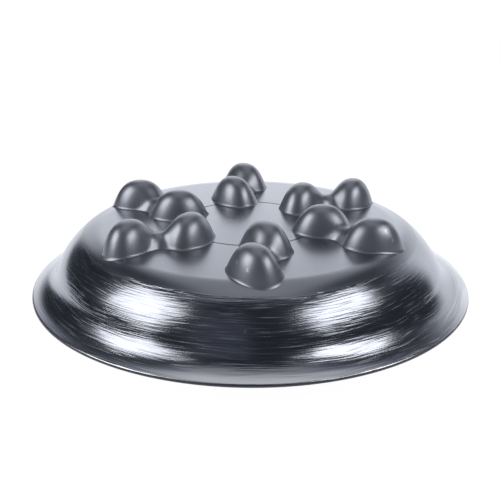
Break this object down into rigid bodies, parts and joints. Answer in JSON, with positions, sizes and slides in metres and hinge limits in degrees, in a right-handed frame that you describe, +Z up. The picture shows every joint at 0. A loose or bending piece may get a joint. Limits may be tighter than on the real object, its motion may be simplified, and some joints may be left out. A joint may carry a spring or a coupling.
{
  "type": "wobble cushion",
  "caption": "Round air-filled balance cushion: a soft domed saucer with a wide brim, a flat deck of paired knobs set in a pinwheel, and a push-in air valve in its foot.",
  "frame": {"origin": "on the floor, under the middle of the foot", "axes": "+Z up through the middle of the deck, -Y towards the picture's camera, +X to its right"},
  "size_m": [0.39, 0.39, 0.0952],
  "materials": {
    "foot_vinyl": "matt soft vinyl",
    "wall_vinyl": "satin soft vinyl with fine marks round it, metallic grey",
    "deck_vinyl": "smooth glossy soft vinyl, metallic grey",
    "knob_vinyl": "smooth satin soft vinyl, metallic grey",
    "valve_plastic": "plain semi-flexible plastic"
  },
  "bodies": {
    "foot": {"foot_pad": "foot_vinyl", "underside_wall": "foot_vinyl", "valve_seat": "valve_plastic"},
    "rim": {"rim_flange": "wall_vinyl", "side_wall": "wall_vinyl"},
    "shoulder": {"shoulder_wall": "wall_vinyl"},
    "deck": {"top_deck": "deck_vinyl"},
    "knob_1": {"knob_pair_1": "knob_vinyl"},
    "knob_2": {"knob_pair_2": "knob_vinyl"},
    "knob_3": {"knob_pair_3": "knob_vinyl"},
    "knob_4": {"knob_pair_4": "knob_vinyl"},
    "knob_5": {"knob_pair_5": "knob_vinyl"},
    "knob_6": {"knob_pair_6": "knob_vinyl"},
    "plug": {"valve_plug": "valve_plastic"}
  },
  "joints": [
    {"name": "sink", "type": "slide", "parent": "foot", "child": "rim", "axis": [0, 0, -1], "range_m": [0, 0.008], "stiffness_N_per_m": 40000, "deforming": ["underside_wall"]},
    {"name": "tilt_fore_aft", "type": "hinge", "parent": "rim", "child": "shoulder", "pos_m": [0, 0, 0.04568], "axis": [1, 0, 0], "range_deg": [-5, 5], "stiffness_Nm_per_rad": 200, "deforming": ["side_wall"]},
    {"name": "tilt_sideways", "type": "hinge", "parent": "shoulder", "child": "deck", "pos_m": [0, 0, 0.04568], "axis": [0, 1, 0], "range_deg": [-5, 5], "stiffness_Nm_per_rad": 200, "deforming": ["shoulder_wall"]},
    {"name": "knob_1_press", "type": "slide", "parent": "deck", "child": "knob_1", "axis": [0, 0, -1], "range_m": [0, 0.008], "stiffness_N_per_m": 4000, "deforming": ["knob_pair_1"]},
    {"name": "knob_2_press", "type": "slide", "parent": "deck", "child": "knob_2", "axis": [0, 0, -1], "range_m": [0, 0.008], "stiffness_N_per_m": 4000, "deforming": ["knob_pair_2"]},
    {"name": "knob_3_press", "type": "slide", "parent": "deck", "child": "knob_3", "axis": [0, 0, -1], "range_m": [0, 0.008], "stiffness_N_per_m": 4000, "deforming": ["knob_pair_3"]},
    {"name": "knob_4_press", "type": "slide", "parent": "deck", "child": "knob_4", "axis": [0, 0, -1], "range_m": [0, 0.008], "stiffness_N_per_m": 4000, "deforming": ["knob_pair_4"]},
    {"name": "knob_5_press", "type": "slide", "parent": "deck", "child": "knob_5", "axis": [0, 0, -1], "range_m": [0, 0.008], "stiffness_N_per_m": 4000, "deforming": ["knob_pair_5"]},
    {"name": "knob_6_press", "type": "slide", "parent": "deck", "child": "knob_6", "axis": [0, 0, -1], "range_m": [0, 0.008], "stiffness_N_per_m": 4000, "deforming": ["knob_pair_6"]},
    {"name": "plug_pull", "type": "slide", "parent": "foot", "child": "plug", "axis": [0, 0, -1], "range_m": [0, 0.016]}
  ]
}
